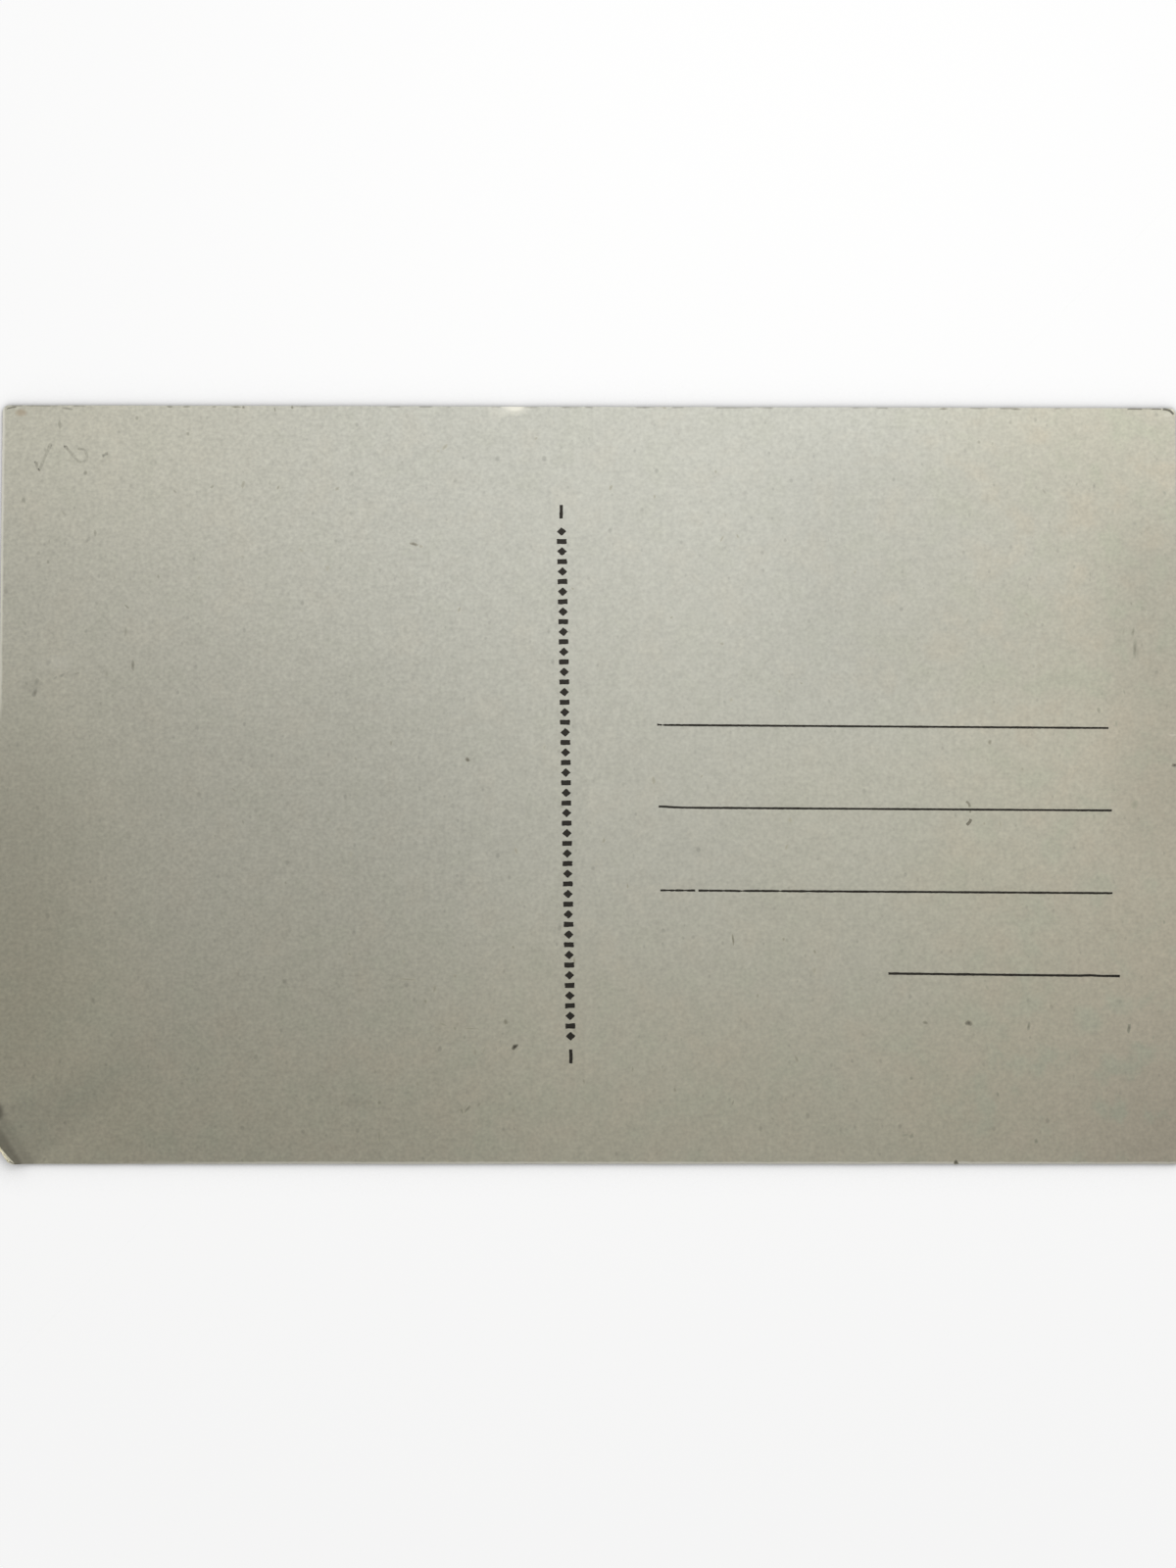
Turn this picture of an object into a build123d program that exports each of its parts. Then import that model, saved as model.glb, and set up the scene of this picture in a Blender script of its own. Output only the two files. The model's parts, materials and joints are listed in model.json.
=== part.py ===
from build123d import *

import os
from math import cos, hypot, radians, sin, tan

# Divided-back picture postcard, lying picture side down.
# X runs along the long edges, Y towards the top edge of the address side, Z through the thickness.
# The origin is on the picture side, under the middle of the card. Sizes are in millimetres, angles in degrees.

# Card blank: two face papers pasted on a core
card_length = 140.0
card_height = 90.0
face_ply_thickness = 0.10
core_ply_thickness = 0.17
paste_thickness = 0.015

# Worn corners, named as the address side is read
top_left_radius = 0.8
top_right_radius = 0.6
bottom_right_radius = 0.6

# Turned-up lower left corner: where its crease meets the two edges, and its blunted tip
crease_up_left_edge = 7.3
crease_along_bottom_edge = 4.7
tip_width = 3.5
tip_corner_radius = 1.5
bend_angle = 55.0

# Letterpress printing on the address side, pressed into the face paper and filled flush with ink
impression_depth = 0.02
forme_lean = 1.1
rule_width = 0.30
rule_pitch = 9.82
rule_tilt = -0.3
rule_count = 4
first_rule_height = 6.75
rule_start = 8.1
rule_end_margin = 7.8
short_rule_length = 27.5
short_rule_end_margin = 7.0
short_rule_tilt = -0.6

# Dividing ornament: lozenges and cross bars by turns, between two end dashes
divider_offset = 2.72
divider_end_margin = 11.8
dash_length = 1.65
dash_width = 0.40
dash_gap = 0.95
sort_pitch = 1.2
lozenge_across = 1.16
lozenge_along = 1.05
bar_across = 1.16
bar_width = 0.60

# Printed picture on the picture side, inside an unprinted border
picture_border = 5.0
picture_film_thickness = 0.02

# Heights of the layers above the picture side
picture_ply_top = face_ply_thickness
core_bottom = picture_ply_top + paste_thickness
core_top = core_bottom + core_ply_thickness
address_ply_bottom = core_top + paste_thickness
card_thickness = address_ply_bottom + face_ply_thickness

# Turned-up corner: its depth in plan, and the bend radius that spends that depth over the bend angle
crease_length = hypot(crease_up_left_edge, crease_along_bottom_edge)
corner_depth = crease_up_left_edge * crease_along_bottom_edge / crease_length
flap_reach = corner_depth * (1 - tip_width / crease_length)
bend_radius = flap_reach / sin(radians(bend_angle))
flap_rise = bend_radius - (bend_radius - card_thickness) * cos(radians(bend_angle))

left_edge = -card_length / 2
right_edge = card_length / 2
bottom_edge = -card_height / 2
top_edge = card_height / 2

# Section plane square to the crease: its x axis points out to the corner, its y axis up
crease_plane = Plane(
    origin=(left_edge + crease_along_bottom_edge / 2, bottom_edge + crease_up_left_edge / 2, 0),
    x_dir=(-crease_up_left_edge, -crease_along_bottom_edge, 0),
    z_dir=(-crease_along_bottom_edge, crease_up_left_edge, 0),
)

# Outline of the card in plan, cut off where the turned-up corner ends
tip_share = tip_width / crease_length
with BuildSketch(Plane.XY) as outline:
    with BuildLine():
        FilletPolyline(
            (left_edge, bottom_edge + tip_share * crease_up_left_edge),
            (left_edge + tip_share * crease_along_bottom_edge, bottom_edge),
            (right_edge, bottom_edge),
            (right_edge, top_edge),
            (left_edge, top_edge),
            radius=[tip_corner_radius, tip_corner_radius, bottom_right_radius, top_right_radius, top_left_radius],
            close=True,
        )
    make_face()


def turned_up_sheet(low, high):
    """One layer of the card between two heights, cut to the outline, with its lower left corner bent up."""
    reach = card_length + card_height
    with BuildPart() as sheet:
        with BuildSketch(crease_plane):
            with BuildLine():
                under_bend = CenterArc((0, bend_radius), bend_radius - low, -90, bend_angle)
                over_bend = CenterArc((0, bend_radius), bend_radius - high, -90, bend_angle)
                Polyline(over_bend @ 0, (-reach, high), (-reach, low), under_bend @ 0)
                Line(under_bend @ 1, over_bend @ 1)
            make_face()
        extrude(amount=reach, both=True)
        extrude(outline.sketch, amount=card_thickness + flap_rise, both=True, mode=Mode.INTERSECT)
    return sheet.part


def rule_outline(number):
    """The printed outline of one address rule, counted from the top. The last one is short."""
    height = first_rule_height - number * rule_pitch
    start = rule_start + number * rule_pitch * tan(radians(forme_lean))
    end = right_edge - rule_end_margin
    tilt = rule_tilt
    if number == rule_count - 1:
        end = right_edge - short_rule_end_margin
        start = end - short_rule_length
        tilt = short_rule_tilt
    with BuildSketch(Plane.XY.offset(card_thickness)) as rule:
        with Locations(((start + end) / 2, height)):
            Rectangle(end - start, rule_width, rotation=tilt)
    return rule.sketch


# The divider's own axis leans with the forme
divider_plane = Plane.XY.offset(card_thickness).move(Location((-divider_offset, 0, 0), (0, 0, forme_lean)))
divider_length = card_height - 2 * divider_end_margin
row_length = divider_length - 2 * (dash_length + dash_gap) - lozenge_along
lozenge_count = int(row_length / (2 * sort_pitch)) + 1

with BuildSketch(divider_plane) as lozenge_outlines:
    with GridLocations(0, 2 * sort_pitch, 1, lozenge_count):
        Polygon(
            (lozenge_across / 2, 0),
            (0, lozenge_along / 2),
            (-lozenge_across / 2, 0),
            (0, -lozenge_along / 2),
        )

with BuildSketch(divider_plane) as bar_outlines:
    with GridLocations(0, 2 * sort_pitch, 1, lozenge_count - 1):
        Rectangle(bar_across, bar_width)

with BuildSketch(divider_plane) as dash_outlines:
    with GridLocations(0, divider_length - dash_length, 1, 2):
        Rectangle(dash_width, dash_length)

# Outline of the printed picture
with BuildSketch(Plane.XY) as picture_outline:
    Rectangle(card_length - 2 * picture_border, card_height - 2 * picture_border)

rule_outlines = [rule_outline(number) for number in range(rule_count)]

# Face paper of the address side, with its impressions
with BuildPart() as address_face_ply:
    add(turned_up_sheet(address_ply_bottom, card_thickness))
    for inked in (*rule_outlines, lozenge_outlines.sketch, bar_outlines.sketch, dash_outlines.sketch):
        extrude(inked, amount=-impression_depth, mode=Mode.SUBTRACT)

# Paste, core and paste
with BuildPart() as address_paste_film:
    add(turned_up_sheet(core_top, address_ply_bottom))

with BuildPart() as core_ply:
    add(turned_up_sheet(core_bottom, core_top))

with BuildPart() as picture_paste_film:
    add(turned_up_sheet(picture_ply_top, core_bottom))

# Printed picture, and the face paper of the picture side with a bed for it
with BuildPart() as picture_print:
    add(turned_up_sheet(0, picture_film_thickness))
    extrude(picture_outline.sketch, amount=card_thickness + flap_rise, both=True, mode=Mode.INTERSECT)

with BuildPart() as picture_face_ply:
    add(turned_up_sheet(0, picture_ply_top))
    add(picture_print.part, mode=Mode.SUBTRACT)

# Ink of the dividing ornament
with BuildPart() as divider_lozenges:
    extrude(lozenge_outlines.sketch, amount=-impression_depth)

with BuildPart() as divider_bars:
    extrude(bar_outlines.sketch, amount=-impression_depth)

with BuildPart() as divider_dashes:
    extrude(dash_outlines.sketch, amount=-impression_depth)

pieces = {
    "address_face_ply": address_face_ply.part,
    "address_paste_film": address_paste_film.part,
    "core_ply": core_ply.part,
    "picture_paste_film": picture_paste_film.part,
    "picture_face_ply": picture_face_ply.part,
    "picture_print": picture_print.part,
    "divider_lozenges": divider_lozenges.part,
    "divider_bars": divider_bars.part,
    "divider_dashes": divider_dashes.part,
}

# Ink of the address rules
for number, inked in enumerate(rule_outlines):
    with BuildPart() as address_rule:
        extrude(inked, amount=-impression_depth)
    pieces[f"address_rule_{number + 1}"] = address_rule.part

os.makedirs("parts", exist_ok=True)
for name, piece in pieces.items():
    piece.label = name
    export_step(piece, f"parts/{name}.step")
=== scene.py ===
"""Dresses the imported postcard: worn paper plies, letterpress ink, pencil marks and a plain pale stage."""

import json
import math
import random

import bmesh
import bpy
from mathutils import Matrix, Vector, noise


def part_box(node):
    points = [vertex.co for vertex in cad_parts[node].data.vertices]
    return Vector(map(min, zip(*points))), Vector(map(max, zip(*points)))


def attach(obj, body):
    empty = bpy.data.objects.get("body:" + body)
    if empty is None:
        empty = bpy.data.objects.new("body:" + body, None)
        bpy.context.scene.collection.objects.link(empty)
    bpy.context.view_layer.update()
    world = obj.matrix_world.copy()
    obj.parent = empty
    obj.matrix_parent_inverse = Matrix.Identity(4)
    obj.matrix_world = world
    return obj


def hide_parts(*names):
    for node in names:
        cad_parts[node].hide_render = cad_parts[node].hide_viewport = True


bl_info = {
    "name": "Worn Picture Postcard",
    "version": (1, 0, 0),
    "blender": (4, 5, 0),
    "location": "View3D > Sidebar > Postcard",
    "description": "Builds an old divided-back postcard of pasted plies around its CAD frame",
    "category": "Add Mesh",
}

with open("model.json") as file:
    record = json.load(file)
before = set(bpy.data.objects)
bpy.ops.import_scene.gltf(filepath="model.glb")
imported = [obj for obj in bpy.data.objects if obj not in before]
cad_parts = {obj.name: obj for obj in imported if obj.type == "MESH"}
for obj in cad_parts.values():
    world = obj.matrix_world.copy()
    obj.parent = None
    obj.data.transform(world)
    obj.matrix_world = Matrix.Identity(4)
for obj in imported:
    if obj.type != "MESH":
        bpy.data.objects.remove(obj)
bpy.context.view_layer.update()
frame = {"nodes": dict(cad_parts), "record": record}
MM = 0.001

# Heights of the layers above the table, read from the frame
CARD_LOW, CARD_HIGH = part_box("core_ply")
FACE_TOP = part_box("address_rule_1")[1].z
FACE_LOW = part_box("address_face_ply")[0].z
CORE_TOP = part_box("address_paste_film")[0].z
CORE_LOW = CARD_LOW.z
BACK_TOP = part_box("picture_paste_film")[0].z
BACK_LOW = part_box("picture_face_ply")[0].z

# Tolerances for finding and cutting by place, in metres
NEAR, HAIR, CUT = 1e-6, 1e-7, 1e-9

# How finely the sheets are cut: cells along the card, guards along its edges, strips in the rolled corner
CELL_COLUMNS = 14
CELL_GUARD = 2 * MM
ROLL_STRIPS = 14

# Light that isn't quite white
WARM = (1.0, 0.95, 0.86)

# Pencil marks: width, then the points of each stroke, in millimetres
PENCIL_LINES = (
    (0.38, ((-66.0, 38.3), (-65.6, 37.2), (-65.0, 38.6), (-64.2, 40.4))),
    (0.35, ((-62.6, 40.2), (-61.6, 39.0), (-60.7, 38.2), (-59.9, 38.6), (-60.2, 39.6), (-61.0, 39.8))),
    (0.36, ((-58.1, 38.9), (-57.4, 39.3))),
)

# Flecks that stand out, and along the top edge dark marks that paint the shade in small nicks: place,
# length, width, lean and darkness, in millimetres and radians
NOTABLE_FLECKS_AND_NICK_SHADE = (
    (-20.9, 28.45, 0.8, 0.32, 1.35, 0.75), (-14.4, 2.7, 0.5, 0.4, 0.3, 0.9),
    (-8.75, -31.25, 0.8, 0.42, -0.9, 1.3), (17.1, -18.6, 1.0, 0.2, 0.1, 0.7),
    (45.0, -28.4, 0.75, 0.52, 1.5, 0.9), (39.9, -28.4, 0.5, 0.32, 1.4, 0.6),
    (52.1, -28.8, 0.8, 0.28, -0.15, 0.5), (64.0, -29.0, 0.9, 0.32, -0.1, 0.65),
    (48.4, -36.8, 0.5, 0.25, 0.2, 0.45), (38.2, -34.9, 0.4, 0.3, 0.1, 0.4),
    (38.2, -41.7, 0.45, 0.4, 0.0, 0.35), (52.9, -42.3, 0.5, 0.35, 0.3, 0.45),
    (43.4, -44.8, 0.5, 0.5, 0.0, 1.0), (-54.2, 13.9, 0.95, 0.32, 0.05, 0.6),
    (-65.8, 10.6, 0.95, 0.45, -0.5, 0.6), (-65.6, 11.9, 0.85, 0.5, -0.4, 0.4),
    (-66.8, 11.7, 0.45, 0.35, 0.4, 0.35), (-62.6, 12.7, 0.55, 0.3, -1.0, 0.4),
    (-60.9, 12.9, 0.7, 0.25, -1.2, 0.35), (-63.4, 12.4, 0.4, 0.25, -0.9, 0.3),
    (-57.3, 12.9, 0.6, 0.35, 0.1, 0.3), (-55.1, 17.9, 0.9, 0.3, -0.1, 0.35),
    (-58.0, 9.3, 0.5, 0.3, 0.0, 0.35), (-67.8, 4.4, 0.5, 0.4, 0.0, 0.35),
    (-60.1, 36.9, 0.4, 0.36, 0.0, 0.45), (-63.2, 42.7, 0.9, 0.3, 0.15, 0.3),
    (-67.4, 33.6, 0.5, 0.4, 0.3, 0.35), (-54.0, 43.5, 0.4, 0.3, 0.0, 0.3),
    # The flecks at about 44.8 to 44.9 along the top edge are painted shade in small nicks
    (-62.3, 44.6, 1.2, 0.2, 1.45, 0.4), (-50.1, 44.86, 0.55, 0.22, 1.5, 0.6),
    (-48.1, 44.88, 0.8, 0.18, 1.55, 0.55), (-44.8, 44.88, 0.4, 0.16, 1.6, 0.45),
    (-42.2, 44.86, 0.9, 0.2, 1.55, 0.6), (-41.3, 44.82, 0.3, 0.24, 0.2, 0.7),
    (-35.5, 44.82, 0.3, 0.26, 0.1, 0.65), (42.4, 44.86, 0.8, 0.2, 1.55, 0.65),
    (51.0, 44.84, 1.1, 0.22, 1.6, 0.65), (9.0, 44.88, 0.4, 0.16, 1.5, 0.4),
    (-41.0, -4.7, 0.45, 0.22, 0.3, 0.4), (-30.9, -4.4, 0.4, 0.2, 0.2, 0.4),
    (-25.5, -6.6, 0.45, 0.2, -0.3, 0.35), (-35.9, -11.9, 0.4, 0.22, 0.1, 0.4),
    (-27.7, 2.8, 0.45, 0.2, 0.4, 0.4), (-42.1, -0.9, 0.5, 0.2, 0.9, 0.4),
    (-23.5, 4.7, 0.45, 0.22, 0.1, 0.45), (-47.9, 41.6, 0.4, 0.25, 0.2, 0.4),
    (-49.4, 34.7, 0.45, 0.2, 0.6, 0.35), (-37.1, 35.2, 0.4, 0.2, -0.4, 0.4),
    (-51.3, 24.5, 0.4, 0.22, 0.3, 0.4), (-55.0, 20.9, 0.6, 0.22, 0.8, 0.45),
    (-64.4, 26.2, 0.4, 0.25, 0.1, 0.4), (-9.8, -28.3, 0.5, 0.42, 0.1, 0.6),
    (-21.4, -23.3, 2.0, 0.14, 1.5, 0.3), (-13.9, -29.1, 1.3, 0.14, 1.55, 0.3),
    (-26.0, -37.8, 0.5, 0.25, 0.2, 0.35), (-29.1, -37.9, 0.45, 0.3, -0.4, 0.35),
    (-14.3, -38.55, 0.9, 0.3, -0.7, 0.55), (-15.0, -38.75, 0.55, 0.28, 0.35, 0.45),
    (-31.5, -35.9, 0.6, 0.2, 0.9, 0.35), (-24.7, -41.7, 1.3, 0.22, 0.05, 0.35),
    (-24.7, -37.8, 0.4, 0.4, 0.0, 0.5), (-18.2, -24.4, 0.7, 0.25, -0.2, 0.35),
    (-19.3, -25.9, 0.4, 0.3, 0.0, 0.45), (-17.2, -28.6, 0.7, 0.2, 1.2, 0.3),
    (-15.8, -29.1, 0.35, 0.3, 0.0, 0.35), (-13.4, -31.9, 0.6, 0.25, 0.0, 0.3),
    (-20.2, -35.6, 0.4, 0.3, 0.0, 0.3), (-8.9, -38.7, 0.6, 0.25, -0.3, 0.3),
    (15.1, 37.2, 0.4, 0.2, 0.2, 0.4), (7.8, 34.2, 0.4, 0.2, -0.2, 0.35),
    (17.7, 29.5, 0.45, 0.2, 0.3, 0.35), (65.2, 31.1, 0.7, 0.55, 0.3, 0.35),
    (60.4, 35.6, 0.6, 0.3, -0.1, 0.45), (68.8, 34.8, 0.5, 0.35, 0.2, 0.35),
    (65.9, 33.2, 0.5, 0.3, 0.2, 0.3), (57.0, 36.7, 0.5, 0.25, -0.4, 0.3),
    (48.4, 35.7, 0.35, 0.28, 0.0, 0.35), (57.9, 25.9, 0.4, 0.25, 0.1, 0.35),
    (47.7, 4.95, 0.5, 0.36, -0.2, 0.55), (60.7, 8.7, 0.5, 0.36, 0.3, 0.4),
    (62.8, 7.1, 0.6, 0.25, 0.0, 0.35), (62.1, 25.9, 0.4, 0.35, 0.0, 0.35),
    (52.2, 20.2, 0.8, 0.3, 0.9, 0.3), (63.8, 10.9, 0.5, 0.2, 0.4, 0.4),
    (64.7, 21.5, 0.5, 0.25, 0.2, 0.5), (65.1, 16.0, 2.0, 0.42, -0.06, 0.6),
    (64.9, 18.1, 1.0, 0.36, -0.2, 0.55), (63.8, 18.2, 1.0, 0.3, -0.2, 0.35),
    (64.9, -2.5, 0.8, 0.7, 0.0, 0.35), (69.7, 2.2, 0.35, 0.6, 0.0, 1.0),
    (26.8, -20.0, 0.4, 0.22, 0.3, 0.4), (4.6, -12.2, 0.4, 0.2, 0.0, 0.35),
    (10.2, -36.3, 0.45, 0.22, 0.2, 0.35), (20.0, -25.2, 0.4, 0.2, -0.2, 0.35),
)

# Stray fibres that stand out, and dark lines that paint the shade in cracks and nicks at the top corners:
# darkness, width and points, in millimetres
FIBRES_AND_CRACK_SHADE = (
    (0.6, 0.27, ((44.85, -2.15), (45.15, -2.4), (45.3, -2.8))),
    (0.5, 0.22, ((45.36, -3.2), (45.3, -3.5))),
    (0.8, 0.34, ((45.4, -4.25), (45.25, -4.6), (44.9, -4.95))),
    # These four lines at the top corners are dark strokes of painted shade in cracks and nicks of the edge
    (0.75, 0.18, ((64.45, 44.88), (65.3, 44.9), (66.2, 44.87))),
    (0.75, 0.16, ((67.4, 44.9), (68.5, 44.88))),
    (0.95, 0.26, ((68.7, 44.9), (69.3, 44.78), (69.7, 44.55), (69.95, 44.25))),
    (0.7, 0.14, ((-69.5, 44.55), (-69.0, 44.7), (-68.4, 44.8))),
    (0.5, 0.12, ((-37.6, 44.8), (-37.5, 44.35))),
)

# Marks in the face paper: strength, middle and half size of each, in millimetres
BROWN_STAINS = ((0.5, -67.8, 44.1, 0.9, 0.6), (0.35, 64.9, -2.5, 0.6, 0.6), (0.25, 45.0, -28.4, 0.6, 0.5))
SMUDGES = (
    (0.1, -66.2, 11.3, 1.5, 1.0), (0.1, -61.7, 12.6, 1.6, 0.5), (0.14, -27.5, -37.8, 2.6, 0.7),
    (0.2, 65.3, 16.0, 0.3, 1.3), (0.15, -58.0, 38.4, 0.5, 0.3), (0.12, 14.2, -28.0, 0.7, 0.7),
)
RUBBED_SPOTS = ((0.2, -63.2, 14.2, 3.2, 1.3), (0.32, 69.5, 5.8, 0.7, 0.14), (0.32, 69.3, 44.2, 0.7, 0.4))
SKINNED_SPOTS = ((0.55, -8.9, 45.0, 2.4, 1.4), (0.3, -11.1, 44.6, 1.3, 1.2))

# Thin places of the third address rule: middle and spread in millimetres, and the share of the width lost
THIN_PLACES = (
    (9.4, 0.3, 0.4), (10.2, 0.12, 0.35), (11.4, 0.3, 0.35), (14.2, 0.12, 0.3), (16.0, 0.2, 0.25),
    (18.2, 0.25, 0.5), (20.4, 0.2, 0.25), (22.7, 0.15, 0.5), (26.1, 0.3, 0.25),
)

# Flecks scattered at random, and how far flecks and pencil reach into the paper
SCATTERED_FLECKS = 80
SCATTER_SEED = 41
MARK_SINK = 0.01 * MM


def length_of(name, description, millimetres):
    """A length that a user may change, given in millimetres."""
    default = millimetres * MM
    return bpy.props.FloatProperty(
        name=name, description=description, default=default, precision=6, unit="LENGTH", subtype="DISTANCE"
    )


def angle_of(name, description, degrees):
    """An angle that a user may change, given in degrees."""
    return bpy.props.FloatProperty(
        name=name, description=description, default=math.radians(degrees), unit="ROTATION", subtype="ANGLE"
    )


def colour_of(name, description, default):
    """A linear colour that a user may change."""
    return bpy.props.FloatVectorProperty(
        name=name, description=description, default=default, size=3, min=0.0, max=1.0, subtype="COLOR"
    )


def place_of(name, description, *millimetres):
    """A place in the frame that a user may change, given in millimetres."""
    default = [value * MM for value in millimetres]
    return bpy.props.FloatVectorProperty(
        name=name, description=description, default=default, unit="LENGTH", subtype="XYZ"
    )


def number_of(name, description, default):
    """A plain number that a user may change."""
    return bpy.props.FloatProperty(name=name, description=description, default=default)


def slot_colour(slot):
    """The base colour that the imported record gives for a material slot."""
    return next(m["base_color"] for m in frame["record"]["materials"] if m["slot"] == slot)


class PostcardSizes(bpy.types.PropertyGroup):
    """Sizes of the card blank and its wear."""

    length: length_of("Length", "Long side of the card", (CARD_HIGH.x - CARD_LOW.x) / MM)
    height: length_of("Height", "Short side of the card", (CARD_HIGH.y - CARD_LOW.y) / MM)
    top_left: length_of("Top left", "Rounding of the worn top left corner", 0.8)
    top_right: length_of("Top right", "Rounding of the worn top right corner", 0.6)
    bottom_right: length_of("Bottom right", "Rounding of the worn bottom right corner", 0.6)
    crease_up: length_of("Crease up", "Where the crease meets the left edge, above the corner", 7.3)
    crease_along: length_of("Crease along", "Where the crease meets the bottom edge, from the corner", 4.7)
    tip_width: length_of("Tip width", "Width of the blunted tip of the turned-up corner", 3.5)
    tip_wear: length_of("Tip wear", "How far the skin of the face paper is rubbed off along that tip", 0.2)
    tip_fray: length_of("Tip fray", "How ragged the layers are along that tip", 0.035)
    tip_rounding: length_of("Tip rounding", "Rounding of the blunted tip", 1.5)
    bend: angle_of("Bend", "How far the corner is bent up", 55)
    arris: length_of("Arris", "Worn rounding along the cut edges", 0.03)
    edge_wander: length_of("Edge wander", "How far the cut edges wander from straight", 0.025)
    flare: length_of("Flare", "How far out of square the right edge is at its top", 0.22)


class PostcardPrint(bpy.types.PropertyGroup):
    """Sizes of the letterpress printing."""

    ink_rise: length_of("Ink rise", "How far the ink stands above the paper", 0.004)
    impression: length_of("Impression", "How deep the ink is pressed into the paper", 0.02)
    rule_width: length_of("Rule width", "Width of the address rules", 0.3)
    lean: angle_of("Lean", "Lean of the dividing ornament", 1.1)
    divider_offset: length_of("Divider offset", "Distance of the divider left of the middle", 2.72)
    divider_length: length_of("Divider length", "Length of the dividing ornament with its dashes", 66.4)
    sort_pitch: length_of("Sort pitch", "Distance from one ornament to the next", 1.2)
    across: length_of("Across", "Width of the ornaments across the divider", 1.16)
    lozenge_along: length_of("Lozenge along", "Length of a lozenge along the divider", 1.05)
    bar_width: length_of("Bar width", "Width of a cross bar", 0.6)
    dash_length: length_of("Dash length", "Length of an end dash", 1.65)
    dash_width: length_of("Dash width", "Width of an end dash", 0.4)


class PostcardColours(bpy.types.PropertyGroup):
    """Colours of the card."""

    paper: colour_of("Paper", "Clean face paper", (0.59, 0.59, 0.524))
    worn: colour_of("Worn paper", "Face paper under the marks, between clean and toned", (0.6, 0.587, 0.487))
    toned: colour_of("Toned paper", "Face paper gone warm along the edges", (0.61, 0.588, 0.458))
    flushed: colour_of("Flushed paper", "Pinkish clouds in the paper", (0.63, 0.575, 0.455))
    cool: colour_of("Cool paper", "Greenish clouds in the paper", (0.575, 0.592, 0.464))
    fibre: colour_of("Bare fibre", "Paper where its skin is rubbed or torn off", (0.9, 0.88, 0.77))
    board: colour_of("Board", "Torn fibre of the middle board", (0.93, 0.895, 0.71))
    # Grime also serves as painted shade on the turned-up corner and along the nicked top edge
    grime: colour_of("Grime", "Dirt in creases and nicks", (0.085, 0.075, 0.06))
    fleck: colour_of("Fleck", "Dark flecks and stray fibres in the paper", (0.085, 0.077, 0.06))
    ink: colour_of("Ink", "Letterpress ink", (0.019, 0.0165, 0.0125))
    thin_ink: colour_of("Thin ink", "Letterpress ink where the paper took little of it", (0.16, 0.155, 0.14))
    stain: colour_of("Stain", "Brown stains in the face paper", (0.4, 0.27, 0.15))
    cream: colour_of("Picture paper", "Face paper of the picture side", (0.62, 0.595, 0.5))
    graphite: colour_of("Graphite", "Pencil marks", (0.2, 0.19, 0.162))
    paste: colour_of("Paste", "Dry paste in the cut edge", slot_colour("dry_paste"))
    shadows: colour_of("Picture shadows", "Darkest tone of the printed picture", (0.045, 0.04, 0.034))
    lights: colour_of("Picture lights", "Palest tone of the printed picture", (0.6, 0.565, 0.47))


class PostcardStage(bpy.types.PropertyGroup):
    """The stage that the card lies on."""

    distance: length_of("Camera distance", "Distance from the camera to the point it looks at", 258.65)
    tilt: angle_of("Camera tilt", "How far the camera leans towards the bottom edge", 2.185)
    swing: angle_of("Camera swing", "How far the camera leans towards the left edge", 0.413)
    roll: angle_of("Camera roll", "How far the camera is turned about its view", 0.063)
    lamp_place: place_of("Lamp place", "Place of the main lamp", 30, 90, 170)
    lamp_power: number_of("Lamp power", "Main lamp, in watts", 0.355)
    fill_place: place_of("Fill place", "Place of the low fill lamp", -285, -183, 13)
    fill_power: number_of("Fill power", "Low fill lamp, in watts", 0.7)
    world_level: number_of("World level", "Light from all round", 0.04)


class Flow:
    """A value on its way through one material's nodes. Sums on it add Math nodes."""

    def __init__(self, tree, socket=None):
        self.tree = tree
        self.socket = socket

    def node(self, kind, settings=(), inputs=(), out=0):
        """Adds any node with these settings and inputs, and gives the chosen output."""
        made = self.tree.nodes.new(kind)
        for name, value in dict(settings).items():
            setattr(made, name, value)
        for name, value in dict(inputs).items():
            if isinstance(value, Flow):
                self.tree.links.new(value.socket, made.inputs[name])
            else:
                made.inputs[name].default_value = value
        return None if out is None else Flow(self.tree, made.outputs[out])

    def math(self, operation, *values):
        """Adds one Math node on these values."""
        return self.node("ShaderNodeMath", {"operation": operation}, dict(enumerate(values)))

    def __add__(self, other):
        return self.math("ADD", self, other)

    def __sub__(self, other):
        return self.math("SUBTRACT", self, other)

    def __rsub__(self, other):
        return self.math("SUBTRACT", other, self)

    def __mul__(self, other):
        return self.math("MULTIPLY", self, other)

    def __truediv__(self, other):
        return self.math("DIVIDE", self, other)

    def __abs__(self):
        return self.math("ABSOLUTE", self)

    __radd__ = __add__
    __rmul__ = __mul__


def start(name):
    """A new material with no nodes yet, and the object's own coordinates in millimetres."""
    material = bpy.data.materials.new(name)
    material.use_nodes = True
    material.node_tree.nodes.clear()
    place = Flow(material.node_tree).node("ShaderNodeTexCoord", out="Object")
    return material, place.node("ShaderNodeVectorMath", {"operation": "SCALE"}, {0: place, "Scale": 1 / MM})


def parts(place):
    """The x, y and z values of a place."""
    return [place.node("ShaderNodeSeparateXYZ", (), {0: place}, out=axis) for axis in "XYZ"]


def stretched(place, across, along, turn=0.0):
    """Places turned and divided by the size that a pattern has across and along."""
    settings = {"vector_type": "TEXTURE"}
    inputs = {"Vector": place, "Rotation": (0, 0, turn), "Scale": (across, along, across)}
    return place.node("ShaderNodeMapping", settings, inputs)


def cloud(place, across, along=None, detail=2.0, rough=0.5):
    """Soft noise from 0 to 1 whose lumps have this size in millimetres."""
    lumps = stretched(place, across, along or across)
    inputs = {"Vector": lumps, "Scale": 1.0, "Detail": detail, "Roughness": rough}
    return place.node("ShaderNodeTexNoise", (), inputs)


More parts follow.
